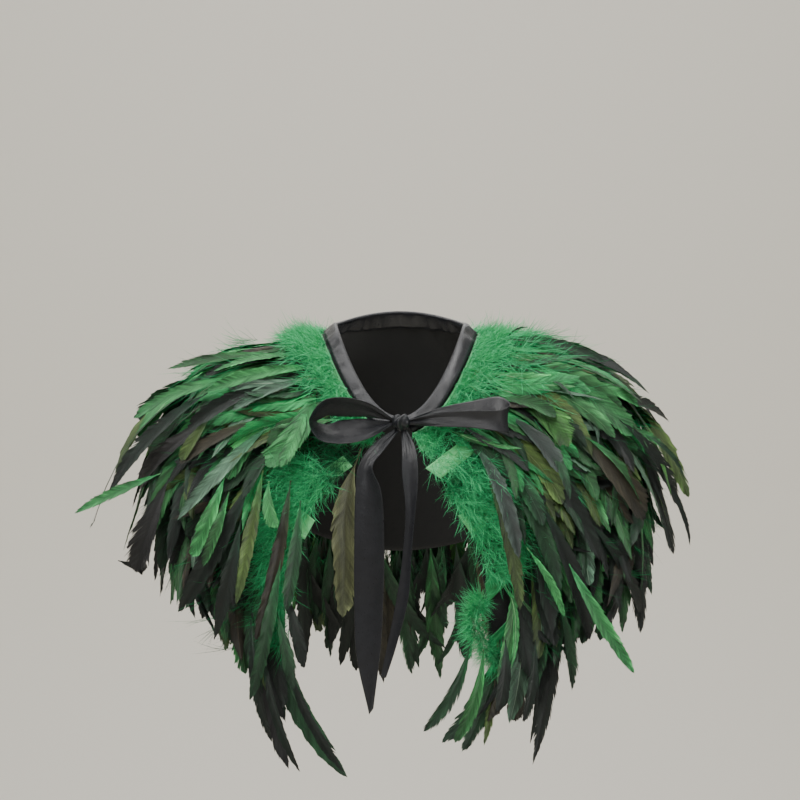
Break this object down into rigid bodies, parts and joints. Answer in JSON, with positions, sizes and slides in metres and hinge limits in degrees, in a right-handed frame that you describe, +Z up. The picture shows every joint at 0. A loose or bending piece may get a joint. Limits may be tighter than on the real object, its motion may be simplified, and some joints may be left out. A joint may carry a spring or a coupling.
{
  "type": "feather cape",
  "caption": "Short shoulder cape of layered long feathers over soft down on a cloth yoke, with a folded ribbon round the neck tied in a bow at the front.",
  "frame": {"origin": "middle of the neck opening, level with its sides, where the wearer's neck and shoulders hold the cape", "axes": "+X to the wearer's left, +Y to the wearer's back, +Z up"},
  "size_m": [0.5922, 0.3401, 0.4446],
  "materials": {
    "foundation_cloth": "matt black woven cotton",
    "ribbon": "charcoal satin ribbon",
    "feathers_bright": "dyed bright green feathers, soft gloss",
    "feathers_mid": "dyed mid green feathers, soft gloss",
    "feathers_dark": "dyed dark green feathers, soft gloss"
  },
  "bodies": {
    "root": {"yoke_back": "foundation_cloth", "yoke_front_left": "foundation_cloth", "yoke_front_right": "foundation_cloth", "neckband": "ribbon", "bow_loop_left": "ribbon", "bow_loop_right": "ribbon", "bow_knot": "ribbon", "ribbon_tail_left": "ribbon", "ribbon_tail_right": "ribbon", "feather_row_0": "feathers_bright", "feather_row_1": "feathers_bright", "feather_row_2": "feathers_mid", "feather_row_3": "feathers_dark", "feather_row_4": "feathers_dark"}
  },
  "joints": []
}
